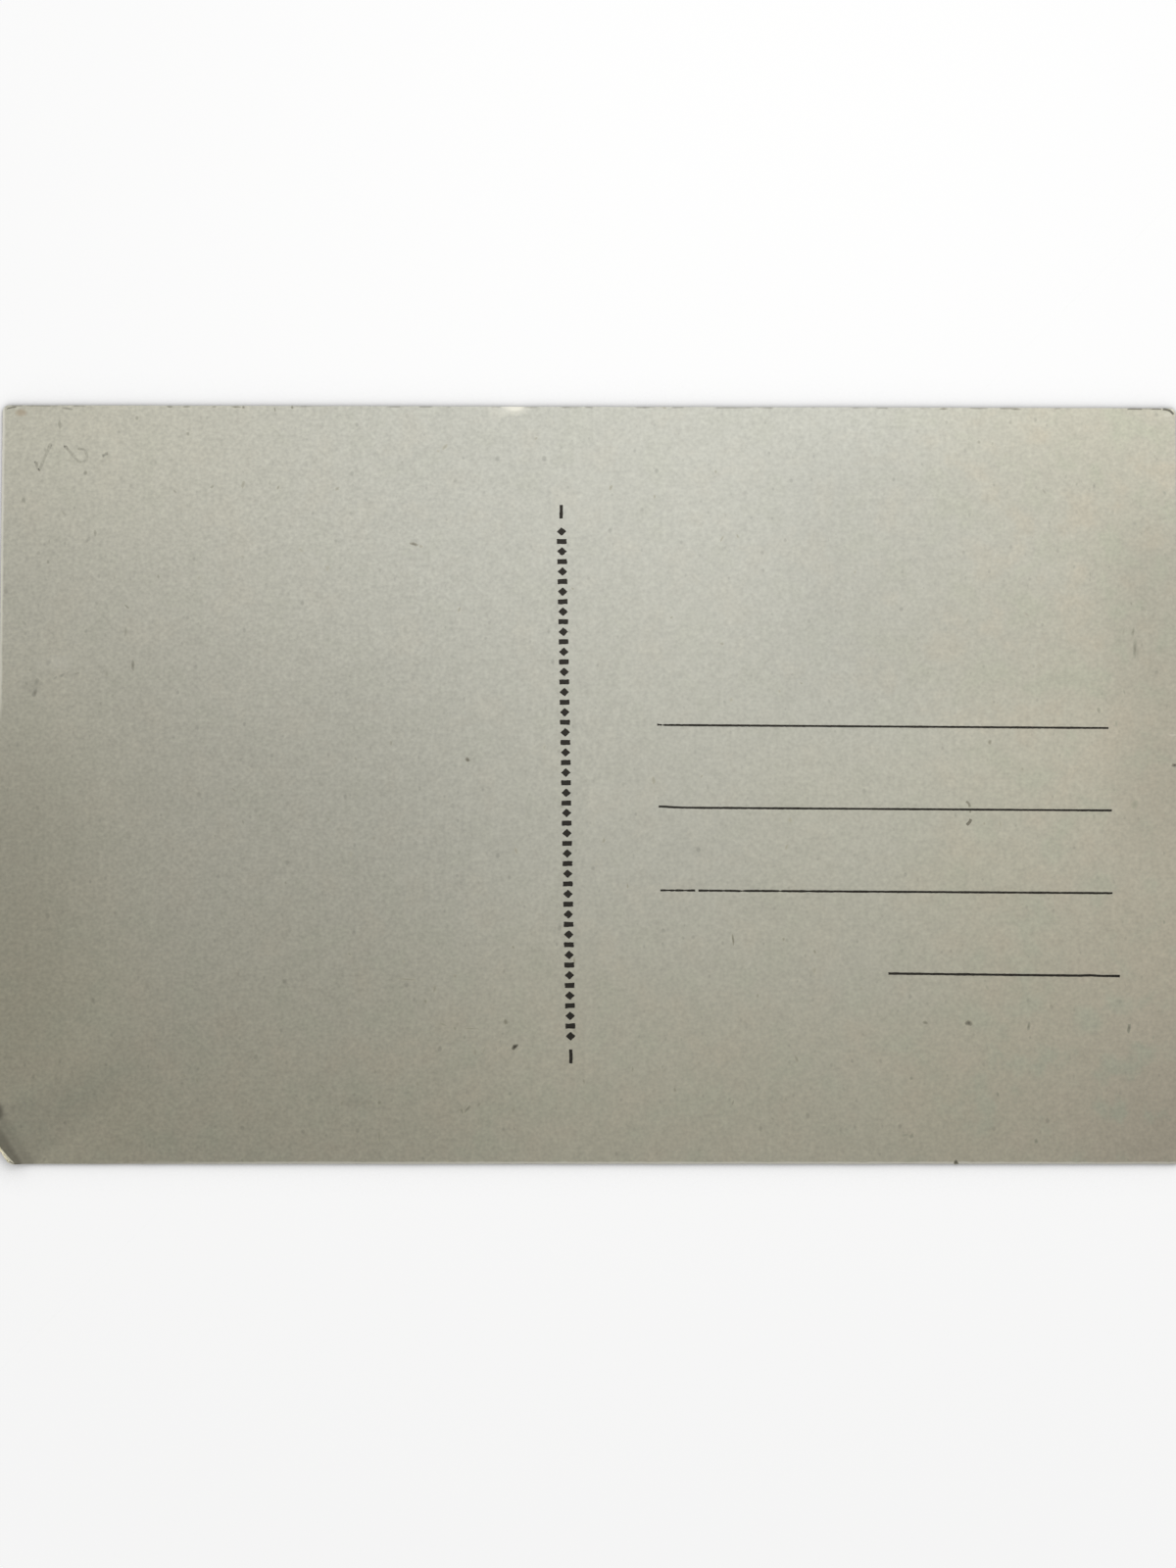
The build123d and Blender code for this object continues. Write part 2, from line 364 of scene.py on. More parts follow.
def fade(value, low, high):
    """0 at low and 1 at high, with a smooth run between them."""
    settings = {"interpolation_type": "SMOOTHSTEP"}
    return value.node("ShaderNodeMapRange", settings, {"Value": value, "From Min": low, "From Max": high})


def mixed(share, first, second):
    """The first colour, with this share of the second."""
    rgba = [c if isinstance(c, Flow) else (*c, 1.0) for c in (first, second)]
    return share.node("ShaderNodeMix", {"data_type": "RGBA"}, {0: share, 6: rgba[0], 7: rgba[1]}, out=2)


def shaded(tone, level):
    """A colour made brighter or darker by a value near 1."""
    return tone.node("ShaderNodeVectorMath", {"operation": "SCALE"}, {0: tone, "Scale": level})


def flecks(place, pitch, size, share, stretch=2.0, turn=0.0):
    """Small irregular flecks, one to a cell of this pitch, as a mask. Only a share of the cells has one."""
    stray = place.node("ShaderNodeTexNoise", (), {"Vector": place, "Scale": 3.0, "Detail": 2.0}, out="Color")
    inputs = {0: stray, 1: (0.16, 0.16, 0), 2: place}
    moved = place.node("ShaderNodeVectorMath", {"operation": "MULTIPLY_ADD"}, inputs)
    settings = {"voronoi_dimensions": "2D"}
    inputs = {"Vector": stretched(moved, pitch, pitch * stretch, turn), "Scale": 1.0}
    near = place.node("ShaderNodeTexVoronoi", settings, inputs)
    chance = place.node("ShaderNodeTexVoronoi", settings, inputs, out="Color")
    bands = ("Red", "Green")
    luck, kind = [place.node("ShaderNodeSeparateColor", (), {0: chance}, out=band) for band in bands]
    radius = (0.4 + 0.6 * kind) * (size / pitch)
    return fade(near / radius, 1.0, 0.35) * fade(luck, share, share - 0.02) * (0.35 + 0.65 * kind)


def surface(material, tone, roughness, height, relief, specular):
    """Ends a material in a Principled shader. Relief is the depth of the height pattern in metres."""
    bump = tone.node("ShaderNodeBump", (), {"Strength": 1.0, "Distance": relief, "Height": height})
    inputs = {"Base Color": tone, "Roughness": roughness, "Specular IOR Level": specular, "Normal": bump}
    shader = tone.node("ShaderNodeBsdfPrincipled", (), inputs)
    tone.node("ShaderNodeOutputMaterial", (), {"Surface": shader}, out=None)
    return material


def mix_values(first, second, share):
    """The first value, with this share of the second."""
    return first + (second - first) * share


def tip_reach(sizes):
    """How far the underside of the turned-up corner's tip lies beyond the crease, in plan."""
    crease_length = math.hypot(sizes.crease_up, sizes.crease_along)
    return sizes.crease_up * sizes.crease_along / crease_length * (1 - sizes.tip_width / crease_length)


def past_crease(x, y, sizes):
    """How far a place lies beyond the crease of the turned-up corner, in plan, in millimetres."""
    out = Vector((sizes.crease_up, sizes.crease_along)).normalized()
    across = (sizes.length - sizes.crease_along) / MM / 2
    along = (sizes.height - sizes.crease_up) / MM / 2
    return (x + across) * -out.x + (y + along) * -out.y


def summed(values):
    """All these values added up."""
    return sum(values[1:], values[0])


def capped(value, most):
    """The value, but never more than this."""
    return value.math("MINIMUM", value, most)


def address_paper_finish(tones, sizes):
    """Uncoated paper with a fine grain, cloudy tone, flecks, stains and a worn, grimy rim, plus painted
    shade and light across the face, a painted highlight on the pale rim and painted shade on the turned-up
    corner and in nicks.
    """
    material, place = start("address_face_paper")

    # Places, and distances from the four edges, in millimetres
    x, y, z = parts(place)
    half_long, half_short = sizes.length / MM / 2, sizes.height / MM / 2
    left, right = x + half_long, half_long - x
    bottom, top = y + half_short, half_short - y

    # Toning: warmer downwards and towards the sides, with soft pink and green clouds where it is warmest
    broad = cloud(place, 24.0, 18.0)
    drift = cloud(place, 5.0, detail=3.0, rough=0.55)
    low_end = fade(bottom + 14 * (broad - 0.5), 40, 2)
    right_end = fade(right + 26 * (broad - 0.5), 44, 2)
    left_end = fade(left, 26, 2) * fade(bottom, 85, 35)
    age = 0.3 * fade(bottom, 88, 30) + 0.55 * low_end + 0.5 * right_end + 0.35 * left_end
    age = age + 0.32 * fade(left, 44, 0) * fade(top, 30, 2)
    warm = fade(left, 60, 15) * fade(bottom, 12, 40)
    age = age + 0.1 * warm + 0.18 * fade(abs(x - 35), 24, 8) * fade(abs(y + 8), 18, 6)
    tone = mixed(capped(age, 1.0), tones.paper, tones.toned)
    flush = 0.16 * low_end + 0.2 * right_end + 0.28 * low_end * right_end + 0.12 * warm
    flush = flush + 0.35 * fade(right, 18, 2) * fade(bottom, 72, 46)
    tone = mixed(flush, tone, tones.flushed)
    mottle = 0.1 + 0.25 * low_end + 0.4 * right_end
    tone = mixed(mottle * fade(drift, 0.5, 0.68), tone, tones.flushed)
    tone = mixed(mottle * fade(drift, 0.5, 0.32), tone, tones.cool)

    # Grain, lumps and flecks, then painted shade that darkens the lower left, both sides and a patch right
    # of the middle, and painted light on the top left
    grain = cloud(place, 0.46, 0.42, detail=1.0)
    lumps = cloud(place, 0.8, detail=1.0)
    curds = cloud(place, 1.5)
    level = 0.68 + 0.3 * grain + 0.18 * lumps + 0.09 * curds + 0.02 * broad + 0.05 * drift
    level = level + 0.08 * (grain - 0.5) * fade(left, 80, 35)
    small = flecks(place, 2.6, 0.24, 0.6, stretch=1.4)
    hairs = flecks(place, 3.1, 0.1, 0.35, stretch=4.0, turn=0.25)
    rare = flecks(place, 6.0, 0.36, 0.5, stretch=1.3)
    level = level * (1 - 0.15 * small) * (1 - 0.13 * hairs) * (1 - 0.2 * rare)
    low_side = fade(bottom, 64, 36) * fade(bottom, 2, 24)
    far_side = fade(left, 2, 18) * fade(bottom, 72, 44)
    painted_shade = 0.09 * fade(left, 70, 40) * low_side.math("MAXIMUM", low_side, far_side)
    painted_shade = painted_shade + 0.07 * fade(left, 16, 2) * fade(bottom, 64, 36) * fade(bottom, 0, 12)
    painted_shade = painted_shade + 0.07 * fade(right, 16, 2) * fade(bottom, 20, 4)
    painted_shade = painted_shade + 0.11 * fade(right, 12, 2) * fade(abs(y - 12), 26, 12)
    painted_shade = painted_shade + 0.07 * fade(abs(x - 46), 34, 14) * fade(abs(y - 26), 22, 8)
    # Painted light: the top left corner brightened
    painted_light = 0.1 * fade(left, 50, 2) * fade(top, 24, 3)
    tone = shaded(tone, level * (1 - painted_shade + painted_light))

    # Stains, smudges and scuffs
    ragged = 1.3 * (cloud(place, 1.0, detail=3.0) - 0.5)

    def spot(middle_x, middle_y, half_x, half_y):
        """One ragged round spot."""
        across = (x - middle_x) / half_x
        along = (y - middle_y) / half_y
        return fade(across * across + along * along + ragged, 1.0, -0.4)

    def spots(marks):
        """Several spots in one mask, each with its strength."""
        return summed([strength * spot(*shape) for strength, *shape in marks])

    tone = mixed(spots(BROWN_STAINS), tone, tones.stain)
    tone = mixed(spots(SMUDGES), tone, tones.grime)
    tone = mixed(spots(RUBBED_SPOTS), tone, tones.fibre)

    # Pale rim along the left and bottom edges: worn fibre, with a painted highlight where the rounded edge
    # catches the light. Along the top, grime with painted shade in small nicks
    wear = cloud(place, 0.9, detail=3.0)
    pale_edge_and_highlight = 0.8 * fade(left / (0.2 + 0.36 * wear), 1.0, 0.4) * fade(bottom, 51, 56)
    pale_edge_and_highlight = pale_edge_and_highlight + 0.8 * fade(bottom / (0.18 + 0.28 * wear), 1.0, 0.5) * fade(left, 8, 32)
    tone = mixed(pale_edge_and_highlight, tone, tones.fibre)
    top_edge_soiling_and_shade = fade(top / (0.1 + 0.3 * wear), 1.0, 0.3) * fade(cloud(place, 2.2), 0.52, 0.62)
    tone = mixed(0.4 * top_edge_soiling_and_shade, tone, tones.grime)

    # Turned-up corner: grime and painted shade from the crease outwards, most of it near the tip and the
    # left edge
    beyond = past_crease(x, y, sizes)
    flap_soiling_and_shade = 0.34 * fade(beyond + 0.8 * (drift - 0.5), -0.7, 0.6) + 0.3 * fade(beyond, 0.7, 1.4)
    flap_soiling_and_shade = flap_soiling_and_shade + 0.4 * spot(-69.6, -38.8, 0.8, 1.4)
    tone = mixed(capped(flap_soiling_and_shade, 0.75), tone, tones.grime)
    tip = (tip_reach(sizes) - FACE_TOP * math.sin(sizes.bend) - sizes.tip_wear) / MM
    slant = 0.15 * (y + 44.1)
    bare = fade(beyond - slant + 0.12 * (lumps - 0.5), tip - 0.04, tip + 0.04)
    tone = mixed(bare, tone, tones.board)

    # Torn skin on the top edge, palest at the edge
    depth = FACE_TOP / MM - z
    torn = fade(depth + 0.02 * (lumps - 0.5), 0.015, 0.07) * fade(beyond, -0.5, -1.0)
    tone = mixed(capped(0.6 * torn + spots(SKINNED_SPOTS), 1.0), tone, tones.fibre)
    # Pale sliver beyond the top right crack: bare fibre with a painted highlight on the lifted sliver
    tone = mixed(0.6 * spot(69.85, 44.75, 0.25, 0.25), tone, tones.fibre)

    height = 0.5 * lumps + 0.35 * grain + 0.15 * cloud(place, 0.09)
    return surface(material, tone, 0.86 + 0.1 * grain, height, 0.016 * MM, 0.2)


def fibre_finish(name, clean, dirty, streak=0.6, soiled=0.45):
    """Cut or torn fibre: pale, streaked along the edge, with dirt rubbed into it here and there."""
    material, place = start(name)
    strands = cloud(place, 0.7, detail=4.0, rough=0.65)
    layers = cloud(place, 0.5 / 9, detail=3.0)
    soil = cloud(place, 3.5, detail=3.0)
    tone = mixed(fade(strands, 0.35, 0.7) * streak, clean, [0.8 * c for c in clean])
    tone = mixed(soiled * fade(soil, 0.5, 0.72), tone, dirty)
    tone = shaded(tone, 0.9 + 0.2 * layers)
    return surface(material, tone, 0.9 + 0.08 * layers, layers, 0.012 * MM, 0.15)


def picture_paper_finish(tones):
    """Smoother paper of the picture side: creamier, a little yellowed towards its edges."""
    material, place = start("picture_face_paper")
    drift = cloud(place, 9.0, detail=3.0)
    tooth = cloud(place, 0.3, 0.45)
    tone = mixed(0.7 * fade(drift, 0.35, 0.7), tones.cream, tones.toned)
    tone = shaded(tone, 0.96 + 0.05 * tooth - 0.1 * flecks(place, 4.0, 0.16, 0.6))
    return surface(material, tone, 0.6 + 0.12 * tooth, tooth, 0.003 * MM, 0.3)


def picture_finish(tones):
    """A plain hazy view of hills over a lake in one dark ink, with the fine grain of the printing."""
    material, place = start("picture_print_ink")
    x, y, _ = parts(place)

    def skyline(base, swing, run, seed):
        line = place.node("ShaderNodeCombineXYZ", (), {0: x, 1: seed})
        return base + swing * (cloud(line, run, detail=4.0, rough=0.52) - 0.5)

    air = cloud(place, 30.0, 9.0, detail=4.0)
    depth = 0.66 + 0.16 * fade(y, 40, 8) + 0.14 * (air - 0.5)
    depth = mix_values(depth, 0.5 + 0.06 * air, fade(y - skyline(12, 16, 30, 3.0), 0.4, -0.4))
    depth = mix_values(depth, 0.34 + 0.1 * cloud(place, 2.5), fade(y - skyline(3, 13, 18, 11.0), 0.3, -0.3))
    ripples = cloud(place, 9.0, 0.7, detail=3.0)
    lake = 0.5 + 0.22 * (ripples - 0.5) + 0.08 * fade(y, -25, -5)
    depth = mix_values(depth, lake, fade(y - skyline(-7, 1.5, 9, 21.0), 0.2, -0.2))
    bank = 0.1 + 0.22 * cloud(place, 1.1, 1.6, detail=5.0, rough=0.7)
    depth = mix_values(depth, bank, fade(y - skyline(-29, 15, 14, 31.0), 0.5, -0.5))
    grain = cloud(place, 0.13, detail=1.0)
    depth = depth + 0.16 * (grain - 0.5) - 0.12 * flecks(place, 6.0, 0.2, 0.4)
    tone = mixed(capped(depth, 1.0), tones.shadows, tones.lights)
    return surface(material, tone, 0.45 + 0.2 * grain, grain, 0.002 * MM, 0.4)


def paste_finish(tones, sizes):
    """Dry starch paste: amber with darker runs, and pale torn fibre on it where the corner's tip is worn."""
    material, place = start("dry_paste")
    x, y, _ = parts(place)
    runs = cloud(place, 1.4, detail=3.0)
    tone = mixed(fade(runs, 0.3, 0.7), tones.paste, [0.75 * c for c in tones.paste])
    torn = fade(past_crease(x, y, sizes), 1.2, 1.5)
    tone = mixed(torn * (0.75 + 0.4 * cloud(place, 0.3)), tone, tones.fibre)
    return surface(material, tone, 0.5 + 0.25 * runs + 0.2 * torn, runs, 0.004 * MM, 0.35)


def ink_finish(tones):
    """Letterpress ink: near black, thin and grey where the paper's grain took less of it."""
    material, place = start("letterpress_ink")
    grain = cloud(place, 0.14, 0.3)
    starved = fade(cloud(place, 1.6), 0.5, 0.75)
    thin = fade(grain, 0.55, 0.8) * (0.06 + 0.22 * starved)
    tone = mixed(thin, tones.ink, tones.thin_ink)
    return surface(material, tone, 0.6 + 0.25 * grain, grain, 0.005 * MM, 0.2)


def graphite_finish(tones):
    """Pencil: graphite on the high spots of the paper, as dark as each stroke was pressed."""
    material, place = start("pencil_graphite")
    pressed = place.node("ShaderNodeAttribute", {"attribute_name": "shade"}, out="Fac")
    tooth = cloud(place, 0.22, 0.3)
    share = pressed * (0.35 + 1.3 * fade(tooth, 0.36, 0.62))
    tone = mixed(share, tones.worn, tones.graphite)
    return surface(material, tone, 0.8 - 0.2 * share, tooth, 0.004 * MM, 0.25)


def fleck_finish(tones):
    """Flecks and stray fibres, and the painted shade of cracks and nicks, from faint to dark as each one's
    own shade says.
    """
    material, place = start("paper_fleck")
    shade = place.node("ShaderNodeAttribute", {"attribute_name": "shade"}, out="Fac")
    patch = cloud(place, 0.2, 0.35)
    x, y, _ = parts(place)
    about = mixed(fade(y - 0.35 * x, 15, -25), tones.worn, tones.toned)
    tone = mixed(shade * (0.63 + 0.42 * patch), about, tones.fleck)
    return surface(material, tone, 0.85 + 0.1 * patch, patch, 0.004 * MM, 0.2)


def deselect():
    """Nothing selected, in object mode."""
    if bpy.context.object and bpy.context.object.mode != "OBJECT":
        bpy.ops.object.mode_set(mode="OBJECT")
    bpy.ops.object.select_all(action="DESELECT")


def pick(*pieces):
    """These pieces selected and nothing else, the first of them active."""
    deselect()
    for piece in pieces:
        piece.select_set(True)
    bpy.context.view_layer.objects.active = pieces[0]


def rename(piece, name):
    """The piece and its mesh under one name."""
    piece.name = name
    piece.data.name = name
    return piece


def settle(piece):
    """The piece's place, turn and size put into its mesh."""
    pick(piece)
    bpy.ops.object.transform_apply(location=True, rotation=True, scale=True)


def added_plane(name, length, width, place, lozenge=False):
    """A flat rectangle or lozenge of this length and width at this place, with its size in its mesh."""
    deselect()
    if lozenge:
        bpy.ops.mesh.primitive_circle_add(vertices=4, radius=0.5, fill_type="NGON", location=place)
    else:
        bpy.ops.mesh.primitive_plane_add(size=1.0, location=place)
    piece = rename(bpy.context.object, name)
    piece.scale = (length, width, 1)
    settle(piece)
    return piece


def edit():
    """Edit mode on the active piece, with all of it selected."""
    bpy.ops.object.mode_set(mode="EDIT")
    bpy.ops.mesh.select_all(action="SELECT")


def choose(piece, test):
    """In edit mode, selects the vertices whose place passes the test."""
    bpy.ops.mesh.select_mode(type="VERT")
    bpy.ops.mesh.select_all(action="DESELECT")
    mesh = bmesh.from_edit_mesh(piece.data)
    for vertex in mesh.verts:
        vertex.select = test(vertex.co)
    mesh.select_flush(True)
    bmesh.update_edit_mesh(piece.data)


def reshape(piece, move):
    """In edit mode, moves each vertex by a rule on its place."""
    mesh = bmesh.from_edit_mesh(piece.data)
    for vertex in mesh.verts:
        move(vertex.co)
    bmesh.update_edit_mesh(piece.data)


def divide(piece, longest, cuts, passes=1):
    """In edit mode, cuts each edge longer than this into equal lengths, once in each pass."""
    for _ in range(passes):
        bpy.ops.mesh.select_mode(type="EDGE")
        bpy.ops.mesh.select_all(action="DESELECT")
        mesh = bmesh.from_edit_mesh(piece.data)
        for edge in mesh.edges:
            edge.select = edge.calc_length() > longest
        mesh.select_flush_mode()
        bmesh.update_edit_mesh(piece.data)
        bpy.ops.mesh.subdivide(number_cuts=cuts)


def split(place, normal):
    """Cuts all faces along a plane and keeps both sides."""
    bpy.ops.mesh.select_all(action="SELECT")
    bpy.ops.mesh.bisect(plane_co=place, plane_no=normal, threshold=CUT)


def round_off(reach, segments=6):
    """Rounds the selected corners of a flat outline."""
    bpy.ops.mesh.bevel(affect="VERTICES", offset=reach, segments=segments, clamp_overlap=False)


def turn(axis, angle, centre):
    """Turns what is selected about an axis of the frame. With no window the operator turns the other way."""
    bpy.ops.transform.rotate(value=-angle, orient_axis=axis, orient_type="GLOBAL", center_override=centre)


def modify(piece, kind, **settings):
    """Adds a modifier with these settings to the piece and applies it."""
    modifier = piece.modifiers.new(kind.title(), kind)
    for name, value in settings.items():
        setattr(modifier, name, value)
    pick(piece)
    bpy.ops.object.modifier_apply(modifier=modifier.name)


def thicken(piece, thickness, **settings):
    """Gives a flat piece its thickness, downwards."""
    modify(piece, "SOLIDIFY", thickness=thickness, offset=-1.0, **settings)


def smooth(piece, angle=12):
    """Smooth shading, with edges kept sharp above this angle."""
    pick(piece)
    bpy.ops.object.shade_smooth_by_angle(angle=math.radians(angle))


def dress(piece, slot, *materials):
    """Gives the piece its materials, and lets it ride on the card."""
    piece.data.materials.clear()
    for material in materials:
        piece.data.materials.append(material)
    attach(piece, "root")


def joined(name, pieces):
    """Several pieces made one object."""
    pick(*pieces)
    bpy.ops.object.join()
    return rename(bpy.context.object, name)


def wander(place, swing, seed):
    """A small wandering offset along a cut edge: slow lumps of about 3 mm and rough ones of about 0.5 mm."""
    slow = noise.noise(Vector((place.x * 300 + seed, place.y * 300, seed)))
    rough = noise.noise(Vector((place.x * 1900, place.y * 1900 + seed, seed)))
    return swing * (slow + 0.6 * rough)


def sheet(name, low, high, seed):
    """One paper layer: a plane cut to the card's worn outline, its corner rolled up, then made thick."""
    sizes = bpy.context.scene.postcard_sizes
    half_long, half_short = sizes.length / 2, sizes.height / 2
    out = Vector((-sizes.crease_up, -sizes.crease_along, 0)).normalized()
    crease = Vector((sizes.crease_along / 2 - half_long, sizes.crease_up / 2 - half_short, high))
    flap = (tip_reach(sizes) / math.sin(sizes.bend) - high) * sizes.bend
    tip = crease + out * flap
    layer = added_plane(name, sizes.length, sizes.height, (0, 0, high))
    edit()

    # Blunted tip and worn corners
    bpy.ops.mesh.bisect(plane_co=tip, plane_no=out, clear_outer=True, threshold=CUT)
    tip_turns = [math.acos(abs(out.x)), math.acos(abs(out.y))]
    for tip_turn, on_left in zip(tip_turns, (True, False)):
        choose(layer, lambda co: abs((co - tip).dot(out)) < NEAR and (co.x < -half_long + NEAR) == on_left)
        round_off(sizes.tip_rounding * math.tan(tip_turn / 2))
    for corner_x, corner_y, radius in (
        (-half_long, half_short, sizes.top_left),
        (half_long, half_short, sizes.top_right),
        (half_long, -half_short, sizes.bottom_right),
    ):
        corner = Vector((corner_x, corner_y, high))
        choose(layer, lambda co: (co - corner).length < NEAR)
        round_off(radius)

    # Cut edges that wander a little. The power keeps the middle of the face still
    def worn(co):
        if (co - tip).dot(out) > -HAIR:
            co += out * wander(co * 3, sizes.tip_fray, seed)
        if co.x > half_long - sizes.top_right:
            co.x += sizes.flare * max(co.y / half_short, 0)
        inward = Vector((-co.x / half_long, -co.y / half_short, 0))
        inward.x = math.copysign(abs(inward.x) ** 40, inward.x)
        inward.y = math.copysign(abs(inward.y) ** 40, inward.y)
        co += inward * wander(co, sizes.edge_wander, seed)

    divide(layer, 3 * MM, 20)
    divide(layer, 1 * MM, 20)
    reshape(layer, worn)

    # Cells, so that wear along an edge can't bend the shading of the whole face
    for number in range(1, CELL_COLUMNS):
        split(Vector((sizes.length * (number / CELL_COLUMNS - 0.5), 0, high)), Vector((1, 0, 0)))
    for along in (CELL_GUARD - half_short, half_short - CELL_GUARD):
        split(Vector((0, along, high)), Vector((0, 1, 0)))

    # The corner, rolled up in narrow strips about its crease
    square = math.atan2(out.x, out.y)
    for number in range(-1, ROLL_STRIPS):
        split(crease + out * (flap * number / ROLL_STRIPS), out)
    bpy.ops.mesh.select_all(action="SELECT")
    turn("Z", square, crease)
    for number in reversed(range(ROLL_STRIPS)):
        hinge = crease + Vector((0, flap * number / ROLL_STRIPS, 0))
        choose(layer, lambda co: co.y > hinge.y + HAIR)
        turn("X", sizes.bend / ROLL_STRIPS, hinge)
    bpy.ops.mesh.select_all(action="SELECT")
    turn("Z", -square, crease)
    bpy.ops.mesh.remove_doubles(threshold=0.004 * MM)
    bpy.ops.object.mode_set(mode="OBJECT")
    if max(vertex.co.z for vertex in layer.data.vertices) < high + 0.5 * MM:
        raise RuntimeError(f"the corner of {name} isn't turned up")

    # Thickness and worn arrises, with the cut edge in a material slot of its own
    for material in ("skin", "cut"):
        layer.data.materials.append(bpy.data.materials.new(material))
    thicken(layer, high - low, use_even_offset=True, use_rim=True, material_offset_rim=1)
    limit = math.radians(50)
    arris = {"width": sizes.arris, "segments": 2, "limit_method": "ANGLE", "angle_limit": limit}
    modify(layer, "BEVEL", use_clamp_overlap=False, material=1, **arris)
    smooth(layer)
    return layer


def scoop(layer, middle, half, ragged, seed):
    """Takes a shallow ragged hollow out of a layer, where its skin is torn off."""
    deselect()
    bpy.ops.mesh.primitive_ico_sphere_add(subdivisions=4, radius=1.0, location=(0, 0, 0))
    cutter = rename(bpy.context.object, "scoop")
    for vertex in cutter.data.vertices:
        vertex.co *= 1 + ragged * noise.noise(vertex.co * 2.3 + Vector((seed, 0, 0)))
    cutter.scale = half
    cutter.location = middle
    settle(cutter)
    modify(layer, "BOOLEAN", operation="DIFFERENCE", solver="EXACT", object=cutter)
    bpy.data.objects.remove(cutter)


def stroke(name, points, widths, low, high):
    """A flat pencil or fibre stroke: one edge extruded from point to point, then given a thickness."""
    runs = [(b - a).normalized() for a, b in zip(points, points[1:])]
    runs.append(runs[-1])
    piece = added_plane(name, widths[0], widths[0], (*points[0], high))
    edit()
    choose(piece, lambda co: co.y < points[0].y)
    bpy.ops.mesh.delete(type="VERT")
    bpy.ops.mesh.select_all(action="SELECT")
    for number, (point, run, width) in enumerate(zip(points, runs, widths)):
        if number:
            bpy.ops.mesh.select_mode(type="EDGE")
            bpy.ops.mesh.extrude_region_move(TRANSFORM_OT_translate={"value": (0, 0, 0)})
            bpy.ops.mesh.select_mode(type="VERT")
        mesh = bmesh.from_edit_mesh(piece.data)
        ends = sorted((v for v in mesh.verts if v.select), key=lambda v: v.index)
        side = Vector((-run.y, run.x)) * width / 2
        ends[0].co = (*(point + side), high)
        ends[1].co = (*(point - side), high)
        bmesh.update_edit_mesh(piece.data)
    bpy.ops.mesh.select_all(action="SELECT")
    bpy.ops.mesh.normals_make_consistent(inside=False)
    bpy.ops.object.mode_set(mode="OBJECT")
    if piece.data.polygons[0].normal.z < 0:
        piece.data.flip_normals()
    thicken(piece, high - low)
    return piece


def eased(points):
    """A smooth run of points through these few, with six steps from each to the next."""
    run = []
    last = len(points) - 1
    for number in range(last):
        before, here = points[max(number - 1, 0)], points[number]
        there, after = points[number + 1], points[min(number + 2, last)]
        pull = there - before
        bow = 2 * before - 5 * here + 4 * there - after
        twist = 3 * here - before - 3 * there + after
        for step in range(6):
            t = step / 6
            run.append(0.5 * (2 * here + pull * t + bow * t * t + twist * t * t * t))
    return run + [points[-1]]


def shade_piece(piece, shade):
    """Writes how dark a mark is into its mesh, by a rule on the place."""
    values = piece.data.attributes.new("shade", "FLOAT", "POINT")
    for item, vertex in zip(values.data, piece.data.vertices):
        item.value = shade(vertex.co)
    return piece


def fleck(across, along, length, width, lean, shade, low, high):
    """One sliver of bark or straw lying in the paper's surface."""
    deselect()
    bpy.ops.mesh.primitive_circle_add(vertices=9, radius=0.7, fill_type="TRIFAN", location=(0, 0, 0))
    bit = rename(bpy.context.object, "fleck")
    luck = random.Random(f"{across:.2f} {along:.2f}")
    for vertex in bit.data.vertices:
        vertex.co *= luck.uniform(0.7, 1.15)
    edit()
    bpy.ops.mesh.extrude_region_move(TRANSFORM_OT_translate={"value": (0, 0, -1)})
    bpy.ops.mesh.select_all(action="SELECT")
    bpy.ops.mesh.normals_make_consistent(inside=False)
    bpy.ops.object.mode_set(mode="OBJECT")
    bit.scale = (width * MM, length * MM, high - low)
    bit.rotation_euler.z = lean
    bit.location = (across * MM, along * MM, high)
    settle(bit)
    middle = Vector((across, along)) * MM
    return shade_piece(bit, lambda co: shade * (1.15 if (co.xy - middle).length < 0.01 * MM else 0.4))


class POSTCARD_OT_address_paper(bpy.types.Operator):
    """Builds the worn face paper of the address side"""

    bl_idname = "postcard.address_paper"
    bl_label = "Address Face Paper"

    def execute(self, context):
        sizes, tones = context.scene.postcard_sizes, context.scene.postcard_colours
        paper = sheet("address_face_paper", FACE_LOW, FACE_TOP, seed=3.7)
        skinned = Vector((-9.1 * MM, sizes.height / 2 + 0.05 * MM, FACE_TOP + 0.3 * MM))
        scoop(paper, skinned, half=(3.6 * MM, 1.5 * MM, 0.36 * MM), ragged=0.05, seed=2.0)
        smooth(paper)
        modify(paper, "WEIGHTED_NORMAL", mode="FACE_AREA", weight=100, keep_sharp=True)
        skin = address_paper_finish(tones, sizes)
        cut = fibre_finish("address_paper_edge", tones.fibre, tones.grime)
        dress(paper, "face_paper", skin, cut)
        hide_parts("address_face_ply")
        return {"FINISHED"}


class POSTCARD_OT_core_board(bpy.types.Operator):
    """Builds the middle board"""

    bl_idname = "postcard.core_board"
    bl_label = "Middle Board"

    def execute(self, context):
        tones = context.scene.postcard_colours
        board = sheet("core_board", CORE_LOW, CORE_TOP, seed=8.1)
        bare = fibre_finish("board_fibre", tones.board, tones.grime, streak=0.3, soiled=0.12)
        dress(board, "core_board", bare, bare)
        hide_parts("core_ply")
        return {"FINISHED"}


class POSTCARD_OT_picture_paper(bpy.types.Operator):
    """Builds the face paper of the picture side"""

    bl_idname = "postcard.picture_paper"
    bl_label = "Picture Face Paper"

    def execute(self, context):
        tones = context.scene.postcard_colours
        paper = sheet("picture_face_paper", BACK_LOW, BACK_TOP, seed=12.9)
        cut = fibre_finish("picture_paper_edge", tones.fibre, tones.grime)
        dress(paper, "face_paper", picture_paper_finish(tones), cut)
        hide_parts("picture_face_ply")
        return {"FINISHED"}


